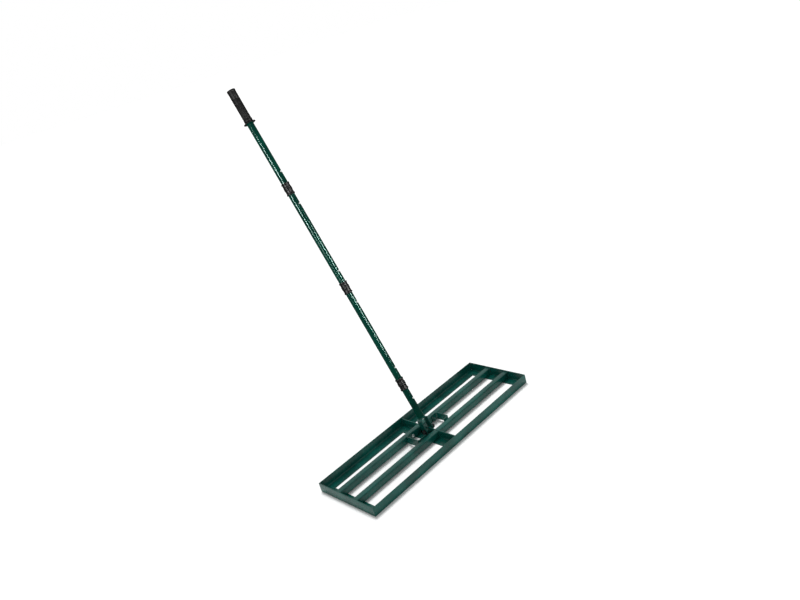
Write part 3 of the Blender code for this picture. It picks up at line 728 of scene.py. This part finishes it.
def makeGrip():
    start, end = grip["start"], pole["top"]
    bore, body, lip, guard, edge = (grip[key] for key in ("bore", "body", "lip", "guard", "edge"))
    core = body - grip["ribDepth"]
    # from the sunk end panel down the outside
    rows = [(0, end - 0.5 * mm), (lip - 4.2 * mm, end - 0.4 * mm), (lip - 2.4 * mm, end)]
    for step in range(7):  # the lip's round edge
        angle = math.pi / 2 * step / 6
        rows.append((lip - edge * (1 - math.sin(angle)), end - edge * (1 - math.cos(angle))))
    lipEnd = end - grip["lipLength"]
    rows += [(lip, lipEnd + edge), (lip - 0.3 * mm, lipEnd + 0.5 * mm)]
    rows += [(body, lipEnd), (body, lipEnd - 1 * mm)]
    ringAt = end - grip["ring"]
    for step in range(-8, 9):  # the groove
        depth = grip["ringDepth"] * (1 + math.cos(math.pi * step / 8)) / 2
        rows.append((body - depth, ringAt - step / 8 * grip["ringDepth"]))
    ribTop = start + grip["ribStart"] + grip["ribLength"]
    ribLow = start + grip["ribStart"]
    rows += [(body, ribTop + 0.9 * mm)]
    rows += [("ribbed", ribTop - step * grip["ribFade"] / 4) for step in range(5)]
    rows += [("ribbed", ribLow + step * grip["ribFade"] / 4) for step in range(4, -1, -1)]
    seat = start + grip["guardThick"]
    rows += [  # a bead between two necks, then the guard's upper side
        (core, ribLow - 0.1 * mm), (lip - 0.35 * mm, ribLow - 0.8 * mm), (lip, ribLow - 1.3 * mm),
        (lip, seat + 2.6 * mm), (lip - 0.4 * mm, seat + 1.9 * mm), (core, seat + 1.3 * mm),
        (core, seat + 0.4 * mm), (core + 0.4 * mm, seat), (core + 2 * mm, seat - 0.6 * mm),
    ]
    rim = start + grip["rimThick"]
    for step in range(9):  # the guard's round edge
        angle = math.pi / 2 * step / 8
        rows.append((guard - edge * (1 - math.sin(angle)), rim - edge * (1 - math.cos(angle))))
    curl = grip["curl"]
    inside = end - pole["endWall"]
    rows += [  # its turned-down underside and the bore
        (guard, start + 0.2 * mm), (guard - 0.2 * mm, start - 0.4 * mm),
        (guard - 0.6 * mm, start - curl), (guard - 1.6 * mm, start - curl),
        (guard - 2.2 * mm, start - 0.3 * mm),
        (guard - 3 * mm, start + curl), (bore + 0.3 * mm, start + curl),
        (bore, start + curl + 0.3 * mm), (bore, inside), (0, inside),
    ]
    steps = grip["ribs"] * 10
    rings = []
    for radius, height in rows:
        ring = []
        for step in range(steps):
            angle = 2 * math.pi * step / steps
            ribbed = radius == "ribbed"
            size = gripRadius(height - start, angle) if ribbed else max(radius, 1e-7)
            ring.append((size * math.cos(angle), size * math.sin(angle), height))
        rings.append(ring)
    piece = loftRings("grip_moulded", rings, vinyl, "handle", caps=False, place=poleFrame, sharp=45)
    standFor("grip")


makeGrip()
print("grip made")

yoke = {
    "inner": 12.3 * mm,       # from the middle to each leg
    "wall": 4 * mm,
    "width": 22 * mm,
    "bend": 7 * mm,
    "top": 46 * mm,
    "corner": 0.8 * mm,       # rolled edge of the flat bar
    "cornerShare": 0.4,       # the most that the edge takes of a half width
    "least": 0.5 * mm,        # half width where a leg's round end runs out
}


def makeYoke():
    leg = yoke["inner"] + yoke["wall"] / 2
    crown = yoke["top"] - yoke["wall"] / 2
    wide = yoke["width"] / 2
    end = [-wide * math.cos(math.pi / 2 * step / 14) for step in range(15)]
    path = [(-leg, z) for z in end] + [(-leg, crown / 2)]
    path += cornerArc((-leg, 0), (-leg, crown), (leg, crown), yoke["bend"], 12)
    path += cornerArc((-leg, crown), (leg, crown), (leg, 0), yoke["bend"], 12)
    path += [(leg, crown / 2)] + [(leg, z) for z in end[::-1]]
    rings = []
    for index, (x, z) in enumerate(path):
        before = Vector(path[max(index - 1, 0)])
        after = Vector(path[min(index + 1, len(path) - 1)])
        along = (after - before).normalized()
        # the legs end round about the pivot
        reachOut = math.sqrt(max(wide ** 2 - min(z, 0) ** 2, yoke["least"] ** 2))
        wall = yoke["wall"] / 2
        corner = min(yoke["corner"], reachOut * yoke["cornerShare"])
        section = roundedOutline([
            (reachOut, -wall, corner), (reachOut, wall, corner),
            (-reachOut, wall, corner), (-reachOut, -wall, corner),
        ], 4)
        rings.append([(x - along.y * out, wideAt, z + along.x * out) for wideAt, out in section])
    piece = loftRings("foot_yoke_bent", rings, railEnamel, "handle", place=poleFrame, sharp=35)
    standFor("foot_yoke")


makeYoke()

pivot = {
    "washer": 8.5 * mm,
    "washerBore": 4.3 * mm,
    "washerWall": 1.6 * mm,
    "nutFlats": 13 * mm,
    "nutHeight": 6.5 * mm,
    "nutBore": 4.3 * mm,
    "ringRadius": 6 * mm,     # the nut's ring that holds its locking insert
    "ringHeight": 1.8 * mm,
    "steps": 56,
}
washerSeat = yoke["inner"] + yoke["wall"] + pole["gap"]
clampFace = washerSeat + pivot["washerWall"] + pole["gap"]


def onPivot(side, distance):  # placement on the pivot's axis, with Z pointing out of the yoke
    turned = Matrix.Rotation(math.radians(side * 90), 4, "Y")
    return poleFrame @ Matrix.Translation((side * distance, 0, 0)) @ turned


for name, side in (("pivot_washer_left", -1), ("pivot_washer_right", 1)):
    outer, bore, wall = pivot["washer"], pivot["washerBore"], pivot["washerWall"]
    profile = [
        (outer - 0.5 * mm, wall), (outer - 0.1 * mm, wall - 0.15 * mm),
        (outer, wall - 0.45 * mm), (outer, 0.15 * mm), (outer - 0.15 * mm, 0),
        (bore + 0.1 * mm, 0), (bore, 0.1 * mm), (bore, wall - 0.2 * mm), (bore + 0.2 * mm, wall),
    ]
    place = onPivot(side, washerSeat)
    piece = turnProfile(
        f"{name}_stamped", profile, blackOxide, "handle", pivot["steps"], place, True)
    standFor(name)
nutTotal = pivot["nutHeight"] + pivot["ringHeight"]
pivotBolt = {
    "flats": pivot["nutFlats"],
    "head": 5.3 * mm,
    "radius": 4 * mm,
    "pitch": 1.25 * mm,
    "length": 2 * clampFace + nutTotal + 1.5 * mm,
    "thread": 20 * mm,
}
makeBolt("pivot_bolt", pivotBolt, blackOxide, "handle", onPivot(-1, clampFace))


def makeLockNut():
    steps = boltForm["steps"]
    flats, height, ring = pivot["nutFlats"], pivot["nutHeight"], pivot["ringRadius"]
    bore = pivot["nutBore"]
    corner = flats / math.sqrt(3)
    inside = flats / 2 * boltForm["bite"]
    rings = [circleRing(bore, 0.4 * mm, steps), circleRing(bore + 0.4 * mm, 0, steps)]
    rings += [hexRing(flats, 0, corner - 0.4 * mm), hexRing(flats, 0.3 * mm, corner)]
    for share in (1, 0.6, 0.3, 0):
        reach = inside + (corner - inside) * share
        rings.append(hexRing(flats, height - (reach - inside) * boltForm["chamfer"], reach))
    profile = [
        (ring, height), (ring, nutTotal - 0.9 * mm),
        (ring - 0.2 * mm, nutTotal - 0.3 * mm), (ring - 0.7 * mm, nutTotal),
        (bore + 0.5 * mm, nutTotal - 0.2 * mm), (bore, nutTotal - 0.2 * mm),
    ]
    rings += [circleRing(radius, level, steps) for radius, level in profile]
    place = onPivot(1, clampFace)
    piece = loftRings("pivot_nut_locking", rings, blackOxide, "handle", True, place=place, sharp=28)
    standFor("pivot_nut")


makeLockNut()
print("yoke and pivot made")

weld = {
    "ripple": 1.6 * mm,       # from one pool of the bead to the next
    "swell": 0.12,            # how far a pool stands out, as a share of the bead
    "stray": 0.08,            # how far the bead wanders in width
    "strayTurn": 0.37,        # radians of that wandering in each step
    "tip": 0.35,              # thickness at a bead's very ends, as a share
    "sides": 10,
    "skew": (0.31, 0.52, 0.79),  # a direction that no bead runs along
    "corner": 1.9 * mm,       # radius of each kind of bead
    "mitre": 1.4 * mm,
    "barEnd": 1.5 * mm,
    "barSide": 1.3 * mm,
    "ear": 1.2 * mm,
    "brace": 1.4 * mm,
    "bush": 1.1 * mm,
    "foot": 1.5 * mm,
    "mitreRun": (2, 27),      # mm from the inner corner
    "earHeight": 24.5 * mm,   # where the bar's round corner begins
    "earTop": 27.6 * mm,      # just above the bar
    "earRun": (56 * mm, 70 * mm),
    "braceFace": 1.9 * mm,    # from the middle
    "braceRun": (6.5 * mm, 26.5 * mm),
    "bushFace": 1.8 * mm,
    "bushRing": 7.3 * mm,
    "footRing": (11.9 * mm, 11.2 * mm),
}


def layWeld(name, points, radius, body="head", closed=False, place=None):
    route = [Vector(point) for point in points]
    if closed:
        route.append(route[0])
    fine = []
    for start, end in zip(route, route[1:]):
        count = max(1, round((end - start).length / (weld["ripple"] / 4)))
        fine += [start.lerp(end, step / count) for step in range(count)]
    if not closed:
        fine.append(route[-1])
    last = len(fine) - 1
    rings = []
    for index, point in enumerate(fine):
        before = fine[index - 1] if closed else fine[max(index - 1, 0)]
        after = fine[(index + 1) % len(fine)] if closed else fine[min(index + 1, last)]
        along = (after - before).normalized()
        side = along.cross(Vector(weld["skew"])).normalized()
        up = along.cross(side)
        swell = weld["swell"] * math.cos(math.pi * index / 2)
        size = radius * (1 + swell + weld["stray"] * math.sin(index * weld["strayTurn"]))
        if not closed:  # the bead starts and ends thinner
            size *= min(1, weld["tip"] + (1 - weld["tip"]) * min(index, last - index) / 4)
        angles = [2 * math.pi * step / weld["sides"] for step in range(weld["sides"])]
        rings.append([point + (side * math.cos(a) + up * math.sin(a)) * size for a in angles])
    piece = loftRings(f"{name}_weld", rings, weldEnamel, body, wrap=closed, place=place, sharp=60)


innerX = rail["length"] / 2 - rail["wall"]
innerY = rail["width"] / 2 - rail["wall"]
for end, xSide in (("left", -1), ("right", 1)):
    for row, ySide in (("back", 1), ("front", -1)):
        corner = Vector((xSide * (innerX - 0.6 * mm), ySide * (innerY - 0.6 * mm), 0))
        inward = Vector((-xSide, -ySide, 0))
        bead = [corner + Vector((0, 0, z)) for z in (rail["leg"] - 2 * mm, rail["wall"] + 1 * mm)]
        layWeld(f"{row}_{end}_corner", bead, weld["corner"])
        flat = corner + Vector((0, 0, rail["wall"] - 0.6 * mm))
        bead = [flat + inward * out * mm for out in weld["mitreRun"]]
        layWeld(f"{row}_{end}_mitre", bead, weld["mitre"])
        low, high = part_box(f"{row}_inner_bar_{end}")
        face = xSide * (innerX - 0.5 * mm)
        near, far = low.y - 0.2 * mm, high.y + 0.2 * mm
        bead = [
            (face, near, low.z + 4.5 * mm), (face, near, high.z - 2 * mm),
            (face, near + 2.2 * mm, high.z), (face, far - 2.2 * mm, high.z),
            (face, far, high.z - 2 * mm), (face, far, low.z + 4.5 * mm),
        ]
        layWeld(f"{row}_{end}_bar_end", bead, weld["barEnd"])
        butt = high.x if end == "left" else low.x
        for edge, y in (("back", high.y), ("front", low.y)):
            bead = [(butt, y, low.z + 4 * mm), (butt, y, high.z - 2.5 * mm)]
            layWeld(f"{row}_{end}_bar_{edge}_side", bead, weld["barSide"])
        low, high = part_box(f"{end}_tie_bracket")
        ear = high.x if end == "left" else low.x
        y = ySide * (high.y - 0.9 * mm)
        bead = [(ear, y, low.z + 3 * mm), (ear, y, weld["earHeight"])]
        layWeld(f"{row}_{end}_ear_end", bead, weld["ear"])
        y = ySide * (high.y + 0.9 * mm)
        bead = [(xSide * x, y, weld["earTop"]) for x in weld["earRun"]]
        layWeld(f"{row}_{end}_ear_top", bead, weld["ear"])
for row, ySide in (("back", 1), ("front", -1)):
    for side, x in (("left", -weld["braceFace"]), ("right", weld["braceFace"])):
        y = ySide * (innerY - 0.5 * mm)
        layWeld(f"brace_{row}_{side}", [(x, y, z) for z in weld["braceRun"]], weld["brace"])
bushHeight, size = pole["pivotHeight"], weld["bushRing"]
for side, x in (("left", -weld["bushFace"]), ("right", weld["bushFace"])):
    angles = [2 * math.pi * step / 32 for step in range(32)]
    ring = [(x, size * math.cos(a), bushHeight + size * math.sin(a)) for a in angles]
    layWeld(f"bush_{side}", ring, weld["bush"], closed=True)
angles = [2 * math.pi * step / 48 for step in range(48)]
level = pole["foot"] + 0.4 * mm
wide, deep = weld["footRing"]
ring = [(wide * math.cos(a), deep * math.sin(a), level) for a in angles]
layWeld("tube_foot", ring, weld["foot"], "handle", True, poleFrame)
print("welds laid")

view = {
    "azimuth": -39.41,
    "elevation": 22.46,
    "roll": -16.08,
    "place": (-1.30775, -1.63646, 1.35832),
    "lens": 33.22,
}


def makeCamera():  # found from the frame's corners in the photograph
    azimuth, elevation, roll = (math.radians(view[key]) for key in ("azimuth", "elevation", "roll"))
    level = math.cos(elevation)
    back = Vector((math.sin(azimuth) * level, -math.cos(azimuth) * level, math.sin(elevation)))
    across = Vector((0, 0, 1)).cross(back).normalized()
    upward = back.cross(across)
    right = across * math.cos(roll) + upward * math.sin(roll)
    up = upward * math.cos(roll) - across * math.sin(roll)
    data = bpy.data.cameras.new("photoCamera")
    data.lens = view["lens"]
    data.sensor_width = 36
    data.clip_end = 80
    camera = bpy.data.objects.new("photoCamera", data)
    facing = Matrix((right, up, back)).transposed().to_4x4()
    camera.matrix_world = Matrix.Translation(view["place"]) @ facing
    scene.collection.objects.link(camera)
    scene.camera = camera


makeCamera()

studio = {
    "floor": "#F2F2F2",
    "floorFibre": "#F1F1F1",
    "fibre": 3,               # mm between the paper's fibres, coarser than real to show
    "floorSize": 24.0,        # m
    "floorDrop": 0.4 * mm,    # keeps the floor clear of the rails' undersides
    "floorLift": 0.045,       # glow that brings the open floor up to white where it is seen
    "sky": (0.36, 0.5),       # light from the horizon and from overhead
    "keyOnRake": 0.8,
    "keyOnFloor": 2.68,       # stronger, for a white floor with firm contact shadows
    "keySoftness": 20,        # degrees across
    "keyFrom": (0.24, 0.38, 1.0),
    "stripReach": 2.5,        # m, from the pole to each strip softbox
    # where it shows: height up the pole in m and turn round it; then width and length in m, watts
    "strips": {
        "stripLeft": (0.92, -17, 0.9, 0.68, 540),
        "stripLow": (0.645, -17, 0.9, 0.45, 65),
        "stripRight": (0.535, 23, 1.1, 0.95, 640),
    },
}


def whereSeen(tree):  # 1 for the camera, and for what shows in metal and gloss, 0 for plain light
    path = addNode(tree, "ShaderNodeLightPath").outputs
    seen = addNode(tree, "ShaderNodeMath", {
        0: path["Is Camera Ray"], 1: path["Is Glossy Ray"]}, operation="MAXIMUM")
    shown = addNode(tree, "ShaderNodeMath", {
        0: seen.outputs[0], 1: path["Is Transmission Ray"]}, operation="MAXIMUM")
    return shown.outputs[0]


def makeFloor():
    bm = bmesh.new()
    bmesh.ops.create_grid(bm, x_segments=1, y_segments=1, size=studio["floorSize"])
    mesh = bpy.data.meshes.new("floor")
    bm.to_mesh(mesh)
    bm.free()
    floor = bpy.data.objects.new("floor", mesh)
    scene.collection.objects.link(floor)
    floor.location.z = -studio["floorDrop"]
    # matt studio paper: white, with no gloss, so that only soft contact shadows show on it
    material, tree, shader, place = newMaterial(
        "mattStudioPaper", Roughness=0.95, Specular_IOR_Level=0.0)
    fibre = addNode(tree, "ShaderNodeTexNoise", {
        "Vector": place, "Scale": perMetre / studio["fibre"], "Detail": 2.0})
    tone = addNode(tree, "ShaderNodeMix", {"Factor": fibre.outputs["Fac"]}, data_type="RGBA")
    tone.inputs[6].default_value = linearColour(studio["floorFibre"])
    tone.inputs[7].default_value = linearColour(studio["floor"])
    tree.links.new(tone.outputs[2], shader.inputs["Base Color"])
    shown = whereSeen(tree)
    lift = addNode(tree, "ShaderNodeMath", {0: shown, 1: studio["floorLift"]}, operation="MULTIPLY")
    glow = addNode(tree, "ShaderNodeEmission", {"Strength": lift.outputs[0]})
    total = addNode(tree, "ShaderNodeAddShader", {0: shader.outputs[0], 1: glow.outputs[0]})
    tree.links.new(total.outputs[0], tree.nodes["Material Output"].inputs["Surface"])
    mesh.materials.append(material)
    return floor


def makeSky():  # even white studio, a little brighter overhead; plain white where it is seen
    world = bpy.data.worlds.new("studio")
    scene.world = world
    world.use_nodes = True
    tree = world.node_tree
    background = tree.nodes["Background"]
    direction = addNode(tree, "ShaderNodeTexCoord").outputs["Generated"]
    height = addNode(tree, "ShaderNodeSeparateXYZ", {"Vector": direction})
    low, high = studio["sky"]
    level = addNode(tree, "ShaderNodeMapRange", {
        "Value": height.outputs["Z"], "To Min": low, "To Max": high})
    strength = addNode(tree, "ShaderNodeMix", {
        "Factor": whereSeen(tree), "A": level.outputs["Result"], "B": 1.0})
    background.inputs["Color"].default_value = (1, 1, 1, 1)
    tree.links.new(strength.outputs["Result"], background.inputs["Strength"])


def alongPole(seen, turn):  # where a softbox stands to show at this height and turn on the pole
    up = poleFrame.to_3x3() @ Vector((0, 0, 1))
    foot = poleFrame.to_translation()
    eye = Vector(view["place"]) - foot
    eyeUp = eye.dot(up)
    eyeOut = eye - up * eyeUp
    mirrored = Matrix.Rotation(math.radians(2 * turn), 3, up)
    lampOut = mirrored @ eyeOut.normalized() * studio["stripReach"]
    lampUp = seen + (seen - eyeUp) * studio["stripReach"] / eyeOut.length
    return foot + up * lampUp + lampOut, foot + up * seen


def addStrip(name, skin):  # tall softbox that only draws one line of light down the pole
    seen, turn, width, length, power = studio["strips"][name]
    place, target = alongPole(seen, turn)
    data = bpy.data.lights.new(name, "AREA")
    data.shape = "RECTANGLE"
    data.size, data.size_y = width, length
    data.energy = power
    lamp = bpy.data.objects.new(name, data)
    facing = (place - target).normalized()
    side = (poleFrame.to_3x3() @ Vector((0, 0, 1))).cross(facing).normalized()
    up = facing.cross(side)
    lamp.matrix_world = Matrix.Translation(place) @ Matrix((side, up, facing)).transposed().to_4x4()
    lamp.visible_camera = False
    lamp.visible_diffuse = False
    lamp.light_linking.receiver_collection = skin
    scene.collection.objects.link(lamp)


def addKey(name, lit):  # broad soft light from above and behind, like the shadows in the photograph
    data = bpy.data.lights.new(name, "SUN")
    data.energy = studio[name]
    data.angle = math.radians(studio["keySoftness"])
    lamp = bpy.data.objects.new(name, data)
    lamp.rotation_euler = Vector(studio["keyFrom"]).to_track_quat("Z", "Y").to_euler()
    lamp.visible_glossy = False
    lamp.light_linking.receiver_collection = lit
    scene.collection.objects.link(lamp)


floor = makeFloor()
makeSky()
# each lamp lights the pieces of one skin
skins = ("floorSkin", "rakeSkin", "poleSkin")
floorSkin, rakeSkin, poleSkin = (bpy.data.collections.new(name) for name in skins)
floorSkin.objects.link(floor)
for piece in scene.objects:
    if piece.type == "MESH" and piece is not floor:
        rakeSkin.objects.link(piece)
        if piece.data.materials and piece.data.materials[0] in (tubeEnamel, nylon, vinyl):
            poleSkin.objects.link(piece)
addKey("keyOnRake", rakeSkin)
addKey("keyOnFloor", floorSkin)
for name in studio["strips"]:
    addStrip(name, poleSkin)
print("floor, light and camera set")
